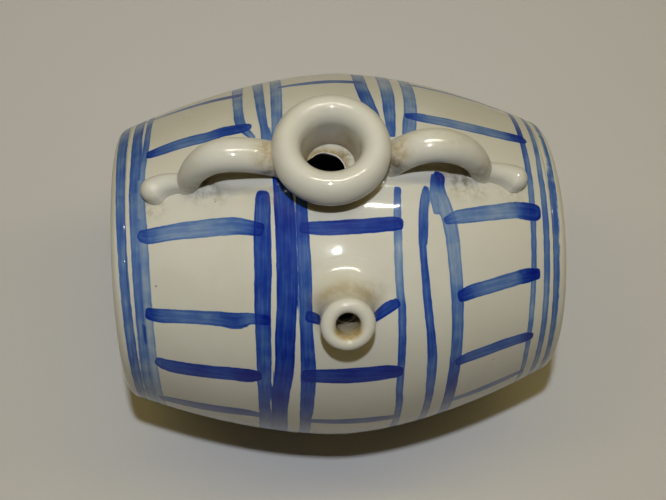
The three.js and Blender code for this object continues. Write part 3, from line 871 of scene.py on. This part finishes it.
def make_barrel(name):
    """The bulged wall with its two holes, the clay smeared on it, and its paint."""
    shell = bpy.data.objects.new(name, bpy.data.meshes.new(name))
    bpy.context.scene.collection.objects.link(shell)
    modifier = shell.modifiers.new("barrel", "NODES")
    modifier.node_group = barrel_tree()
    set_inputs(modifier, {
        "Half Length": HALF_LENGTH * MM, "Bilge Radius": BILGE_RADIUS * MM,
        "Left Head Radius": LEFT_HEAD_RADIUS * MM, "Right Head Radius": RIGHT_HEAD_RADIUS * MM,
        "Bulge Power": BULGE_POWER, "Wall": WALL * MM, "Seam X": SEAM_X * MM, "Axis Height": AXIS_HEIGHT * MM,
        "Wobble": BARREL_WOBBLE * MM, "Steps Along": BARREL_STEPS_ALONG, "Steps Inside": BARREL_STEPS_INSIDE,
        "Steps Round": BARREL_STEPS_ROUND, "Glaze": glaze_wall})
    cutters = [
        hole_cutter("mouth_cutter", MOUTH_HOLE_RADIUS, (MOUTH_HOLE_X, MOUTH_HOLE_Y), 0.0,
                    MOUTH_HOLE_FLARE, MOUTH_HOLE_UNEVEN),
        hole_cutter("spout_cutter", SPOUT_HOLE_RADIUS, (SPOUT_X, 0.0), SPOUT_TILT,
                    SPOUT_HOLE_FLARE, SPOUT_HOLE_UNEVEN)]
    for cutter in cutters:
        cut = shell.modifiers.new("hole", "BOOLEAN")
        cut.operation = "DIFFERENCE"
        cut.solver = "EXACT"
        cut.object = cutter
    ready = shell.evaluated_get(bpy.context.evaluated_depsgraph_get())
    mesh = bpy.data.meshes.new_from_object(ready)
    shell.modifiers.clear()
    shell.data = mesh
    mesh.name = name
    mesh.polygons.foreach_set("use_smooth", [True] * len(mesh.polygons))
    raise_smears(mesh)
    for cutter in cutters:
        bpy.data.objects.remove(cutter)
    paint(shell)
    return shell


# Heads

def make_head(name, side):
    """An end slab with a rounded rim, a slightly dished face and the ridges of the wheel."""
    head_radius = LEFT_HEAD_RADIUS if side < 0 else RIGHT_HEAD_RADIUS
    slope = BULGE_POWER * (BILGE_RADIUS - head_radius) / HALF_LENGTH
    arc_x = HALF_LENGTH - HEAD_EDGE_RADIUS
    arc_r = head_radius + slope * HEAD_EDGE_RADIUS - HEAD_EDGE_RADIUS * math.hypot(1, slope)
    spigot = float(barrel_radius(side * SEAM_X)) - WALL - SPIGOT_GAP
    spigot_end = SEAM_X - SPIGOT_DEPTH
    profile = [(0.0, HEAD_INNER_FACE), (spigot - SPIGOT_WIDTH, HEAD_INNER_FACE),
               (spigot - SPIGOT_WIDTH, spigot_end), (spigot, spigot_end), (spigot, SEAM_X)]
    profile += [(float(barrel_radius(side * x)), x) for x in np.linspace(SEAM_X, arc_x, 3)][:-1]
    profile += arc((arc_r, arc_x), (HEAD_EDGE_RADIUS, HEAD_EDGE_RADIUS), math.atan(slope), math.pi / 2,
                   HEAD_EDGE_STEPS)
    flat = np.linspace(arc_r, 0, HEAD_FACE_STEPS)[1:]
    dish = HEAD_DISH * (1 - (flat / arc_r) ** 2) ** 2
    ridge = HEAD_RIDGE * np.sin(2 * math.pi * flat / HEAD_RIDGE_PITCH)
    ridge *= smooth_step(arc_r - flat, 0, HEAD_RIDGE_FADE)
    profile += list(zip(flat, HALF_LENGTH - dish - ridge))
    around = round_steps(HEAD_STEPS_ROUND)
    rows = [np.stack([np.full(HEAD_STEPS_ROUND, side * x), r * np.sin(around), r * np.cos(around)], 1)
            for r, x in profile]
    faces = sheet_faces(len(profile), HEAD_STEPS_ROUND, False)
    piece = new_piece(name, np.vstack(rows), faces, glaze_wall)
    paint(piece)
    return piece


# Collar and spout

def make_collar(name):
    """The rolled ring round the mouth, on a short foot that is smoothed onto the barrel."""
    roll = (COLLAR_ROLL_RADIUS, COLLAR_ROLL_Z)
    semi = (COLLAR_ROLL_SEMI_R, COLLAR_ROLL_SEMI_Z)
    foot_angle = -math.acos((COLLAR_FOOT_RADIUS - COLLAR_ROLL_RADIUS) / COLLAR_ROLL_SEMI_R)
    profile = [(COLLAR_BASE_RADIUS + flare, height, True) for flare, height in COLLAR_BASE_FLARE]
    for t in np.linspace(0, 1, 9)[:-1]:
        radius = COLLAR_BASE_RADIUS + (COLLAR_BORE_RADIUS - COLLAR_BASE_RADIUS) * t * (2 - t)
        profile.append((radius, COLLAR_THROAT_Z + (COLLAR_ROLL_Z - COLLAR_THROAT_Z) * t, False))
    profile += [(r, z, False) for r, z in arc(roll, semi, math.pi, foot_angle, COLLAR_ROLL_STEPS)]
    for turn in np.linspace(0.25, 1, 6) * math.pi / 2:
        reach = COLLAR_FOOT_RADIUS + COLLAR_FILLET * (1 - math.cos(turn))
        profile.append((reach, COLLAR_FILLET * (1 - math.sin(turn)), True))
    profile.append((COLLAR_FOOT_RADIUS + COLLAR_FILLET + COLLAR_SKIRT, -SINK, True))
    points, faces = turned(profile, round_steps(COLLAR_STEPS_ROUND), MOUTH_X, 0.0, COLLAR_WOBBLE)
    return new_piece(name, points, faces, glaze_collar)


def make_spout(name):
    """The spout: a bored neck with a rolled lip, drawn out wide where it grows from the barrel."""
    roll_semi = (SPOUT_LIP_RADIUS - SPOUT_BORE_RADIUS) / 2
    roll = (SPOUT_BORE_RADIUS + roll_semi, SPOUT_LIP_S - roll_semi)
    around = round_steps(SPOUT_STEPS_ROUND)
    uphill = smooth_step(np.sin(around), -0.3, 1.0)
    fillet = SPOUT_FILLET_LOW + (SPOUT_FILLET_HIGH - SPOUT_FILLET_LOW) * uphill
    profile = [(SPOUT_BORE_RADIUS, -SINK, True), (SPOUT_BORE_RADIUS, SPOUT_BORE_FOOT, True)]
    profile += [(SPOUT_BORE_RADIUS, s, False) for s in np.linspace(SPOUT_BORE_S, roll[1], 9)[:-1]]
    profile += [(r, s, False) for r, s in arc(roll, (roll_semi, roll_semi), math.pi, 0, SPOUT_LIP_STEPS)]
    neck_low = BILGE_RADIUS + fillet
    pull = 2 * SPOUT_WAIST_RADIUS - (SPOUT_LIP_RADIUS + SPOUT_ROOT_RADIUS) / 2
    for t in np.linspace(0, 1, 10)[1:]:
        radius = (1 - t) ** 2 * SPOUT_LIP_RADIUS + 2 * t * (1 - t) * pull + t ** 2 * SPOUT_ROOT_RADIUS
        profile.append((radius, roll[1] + (neck_low - roll[1]) * t, False))
    for turn in np.linspace(0, 1, 16)[1:] * math.pi / 2:
        reach = SPOUT_ROOT_RADIUS + fillet * (1 - math.cos(turn))
        profile.append((reach, fillet * (1 - math.sin(turn)), True))
    profile.append((SPOUT_ROOT_RADIUS + fillet + SPOUT_SKIRT, -SINK, True))
    points, faces = turned(profile, around, SPOUT_X, SPOUT_TILT, SPOUT_WOBBLE)
    piece = new_piece(name, points, faces, glaze_spout)
    paint(piece)
    return piece


# Handles and their curled tails

def handle_line(side, foot_x, crown_z, root_drop, bend, **tail):
    """Middle points and radii of a handle, from inside the collar over the crown into the shoulder."""
    crown_x = foot_x - side * bend
    start_x = MOUTH_X + side * COLLAR_ROLL_RADIUS
    end_z = float(barrel_radius(foot_x)) - HANDLE_FOOT_DEPTH
    rows = []
    for t in np.linspace(0, 1, HANDLE_STEPS + 1):
        taper = max(0, 2 * t - 1) ** HANDLE_TAPER_POWER
        radius = HANDLE_RADIUS + (HANDLE_FOOT_RADIUS - HANDLE_RADIUS) * taper
        if t < 0.5:
            fall = 1 - 2 * t
            rows.append((crown_x + (start_x - crown_x) * fall, 0.0, crown_z - root_drop * fall ** 2, radius))
        else:
            turn = (t - 0.5) * math.pi
            rows.append((crown_x + side * bend * math.sin(turn), 0.0,
                         end_z + (crown_z - end_z) * math.cos(turn), radius))
    return np.array(rows)


def curl_line(side, foot_x, reach, sway, hook, **handle):
    """Middle points and radii of the tail that curls along the shoulder from a handle's foot."""
    t = np.linspace(0, 1, CURL_STEPS + 1)
    x = foot_x + side * reach * t
    y = sway * t - hook * t ** 3
    z = np.sqrt((barrel_radius(x) + CURL_LIFT) ** 2 - y ** 2)
    radius = CURL_RADIUS + (CURL_TIP_RADIUS - CURL_RADIUS) * t ** 2
    rows = np.stack([x, y, z, radius], 1)
    onward = rows[-1, :3] - rows[-2, :3]
    onward /= np.linalg.norm(onward)
    tip = []
    for turn in np.linspace(0, math.pi / 2, 12)[1:]:
        place = rows[-1, :3] + onward * CURL_TIP_RADIUS * math.sin(turn)
        tip.append((*place, CURL_TIP_RADIUS * max(math.cos(turn), CURL_TIP_LEAST)))
    return np.vstack([rows, tip])


def coil_tree():
    """Geometry nodes of a clay coil: a round section swept along a curve at the curve's own radius."""
    group = bpy.data.node_groups.new("clay_coil", "GeometryNodeTree")
    group.interface.new_socket("Path", in_out="INPUT", socket_type="NodeSocketGeometry")
    group.interface.new_socket("Sides", in_out="INPUT", socket_type="NodeSocketInt")
    group.interface.new_socket("Glaze", in_out="INPUT", socket_type="NodeSocketMaterial")
    group.interface.new_socket("Coil", in_out="OUTPUT", socket_type="NodeSocketGeometry")
    tree = Tree(group)
    given = tree.add("NodeGroupInput").outputs
    section = tree.add("GeometryNodeCurvePrimitiveCircle", {"Resolution": given["Sides"], "Radius": 1.0})
    radius = tree.add("GeometryNodeInputRadius").outputs[0]
    sweep = tree.add("GeometryNodeCurveToMesh", {
        "Curve": given["Path"], "Profile Curve": section.outputs[0], "Scale": radius, "Fill Caps": True})
    real = tree.add("GeometryNodeRealizeInstances", {0: sweep.outputs[0]}).outputs[0]
    glazed = tree.add("GeometryNodeSetMaterial", {"Geometry": real, "Material": given["Glaze"]}).outputs[0]
    tree.add("NodeGroupOutput", {0: glazed})
    return group


def make_coil(name, line, fillet, material):
    """A coil laid along a line, smoothed onto the barrel where it touches and cut off just inside it."""
    curve = bpy.data.curves.new(name, "CURVE")
    curve.dimensions = "3D"
    path = curve.splines.new("POLY")
    path.points.add(len(line) - 1)
    for point, (x, y, z, radius) in zip(path.points, line):
        point.co = (x, y, z, 1.0)
        point.radius = radius
    rolled = bpy.data.objects.new(name + "_path", curve)
    bpy.context.scene.collection.objects.link(rolled)
    modifier = rolled.modifiers.new("coil", "NODES")
    modifier.node_group = bpy.data.node_groups.get("clay_coil") or coil_tree()
    set_inputs(modifier, {"Sides": COIL_SIDES, "Glaze": material})
    ready = rolled.evaluated_get(bpy.context.evaluated_depsgraph_get())
    mesh = bpy.data.meshes.new_from_object(ready)
    bpy.data.objects.remove(rolled)
    points = mesh_points(mesh)
    faces = [tuple(face.vertices) for face in mesh.polygons]
    middle = line[np.argmin(((points[:, None] - line[None, :, :3]) ** 2).sum(2), 1), :3]
    out = points - middle
    out /= np.linalg.norm(out, axis=1)[:, None] + 1e-9
    gap = np.hypot(points[:, 1], points[:, 2]) - barrel_radius(points[:, 0])
    spread = 0.5 * fillet * np.clip(1 - gap / fillet, 0, 1) ** 2
    points = points + out * spread[:, None]
    around = np.hypot(points[:, 1], points[:, 2])
    lift = np.maximum(around, barrel_radius(points[:, 0]) - SINK) / np.maximum(around, 1e-9)
    points[:, 1:] *= lift[:, None]
    return new_piece(name, points, faces, material)


# Materials

glaze_wall = painted_glaze("painted_cream_glaze", paleness=0.1)
glaze_spout = painted_glaze("spout_cream_glaze", paleness=0.12)
glaze_collar = plain_glaze("collar_cream_glaze", 0.4, COLLAR_STAINS, COLLAR_BASE_SHADE_FADE)
glaze_handles = {side: plain_glaze(side + "_handle_cream_glaze", 0.35, stains)
                 for side, stains in JOINT_STAINS_AND_SHADE.items()}

# Pieces, each in place of its own plain solid

pieces = {
    "barrel_wall": (make_barrel("painted_barrel"), "barrel_glaze"),
    "left_head": (make_head("left_end_slab", -1), "head_glaze"),
    "right_head": (make_head("right_end_slab", 1), "head_glaze"),
    "mouth_collar": (make_collar("rolled_mouth_collar"), "collar_glaze"),
    "spout": (make_spout("pouring_spout"), "spout_glaze"),
}
for side, shape in HANDLES.items():
    loop = make_coil(side + "_loop_handle", handle_line(**shape), HANDLE_FILLET, glaze_handles[side])
    tail = make_coil(side + "_curled_tail", curl_line(**shape), CURL_FILLET, glaze_handles[side])
    pieces[side + "_handle"] = (loop, "handle_glaze")
    pieces[side + "_handle_curl"] = (tail, "handle_glaze")

for node, (piece, slot) in pieces.items():
    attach(piece, "root")
    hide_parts(node)

# Floor

floor_mesh = bpy.data.meshes.new("floor")
corners = [(x * FLOOR_HALF, y * FLOOR_HALF, 0) for x, y in ((-1, -1), (1, -1), (1, 1), (-1, 1))]
floor_mesh.from_pydata(corners, [], [(0, 1, 2, 3)])
floor_mesh.materials.append(floor_cloth())
floor = bpy.data.objects.new("floor", floor_mesh)
bpy.context.scene.collection.objects.link(floor)

# Camera, fitted to the photograph

CAMERA_PLACE = Vector((-0.03105, -0.24200, 0.59045))
CAMERA_RIGHT = Vector((0.9976, -0.0628, 0.0297))
CAMERA_UP = Vector((0.0435, 0.8988, 0.4363))
CAMERA_LENS = 62.16
CAMERA_SENSOR = 36.0
view = bpy.data.cameras.new("photo_view")
view.lens = CAMERA_LENS
view.sensor_width = CAMERA_SENSOR
view.sensor_fit = "HORIZONTAL"
view.clip_start = 0.01
camera = bpy.data.objects.new("photo_view", view)
facing = Matrix((CAMERA_RIGHT, CAMERA_UP, CAMERA_RIGHT.cross(CAMERA_UP))).transposed()
camera.matrix_world = Matrix.Translation(CAMERA_PLACE) @ facing.to_4x4()
bpy.context.scene.collection.objects.link(camera)
bpy.context.scene.camera = camera

# Light

AIM = Vector((0.0, -0.02, 0.11))
WORLD_COLOUR = (1.0, 0.74, 0.32, 1.0)
WORLD_STRENGTH = 0.068


def lamp(name, forward, right, distance, size, power, colour, in_gloss):
    """An area lamp that leans so many degrees to the front and right of straight up.

    It lights the surfaces, or only shines in their gloss.
    """
    light = bpy.data.lights.new(name, "AREA")
    light.shape = "RECTANGLE"
    light.size, light.size_y = size
    light.energy = power
    light.color = colour
    holder = bpy.data.objects.new(name, light)
    lean, side = math.radians(forward), math.radians(right)
    up = Vector((math.sin(side), -math.sin(lean) * math.cos(side), math.cos(lean) * math.cos(side)))
    length = Vector((0.0, 1.0, 0.0)).cross(up).normalized()
    turn = Matrix((length, up.cross(length), up)).transposed()
    holder.matrix_world = Matrix.Translation(AIM + up * distance) @ turn.to_4x4()
    holder.visible_glossy = in_gloss
    holder.visible_diffuse = not in_gloss
    bpy.context.scene.collection.objects.link(holder)


lamp("key_lamp", forward=11.9, right=-2.6, distance=0.706, size=(0.025, 0.025), power=3.75,
     colour=(0.77, 0.835, 1.0), in_gloss=False)
lamp("warm_lamp", forward=-6.0, right=3.0, distance=1.0, size=(2.2, 0.1), power=5.2,
     colour=(1.0, 0.83, 0.34), in_gloss=False)
lamp("dot_lamp", forward=23.0, right=-1.0, distance=0.62, size=(0.013, 0.016), power=2.4,
     colour=(1.0, 1.0, 1.0), in_gloss=True)
lamp("strip_lamp", forward=-3.5, right=6.4, distance=0.9, size=(0.6, 0.014), power=6.4,
     colour=(1.0, 0.95, 0.82), in_gloss=True)

world = bpy.data.worlds.new("studio")
world.use_nodes = True
backdrop = world.node_tree.nodes["Background"]
backdrop.inputs["Color"].default_value = WORLD_COLOUR
backdrop.inputs["Strength"].default_value = WORLD_STRENGTH
bpy.context.scene.world = world
bpy.context.scene.view_settings.view_transform = "Standard"
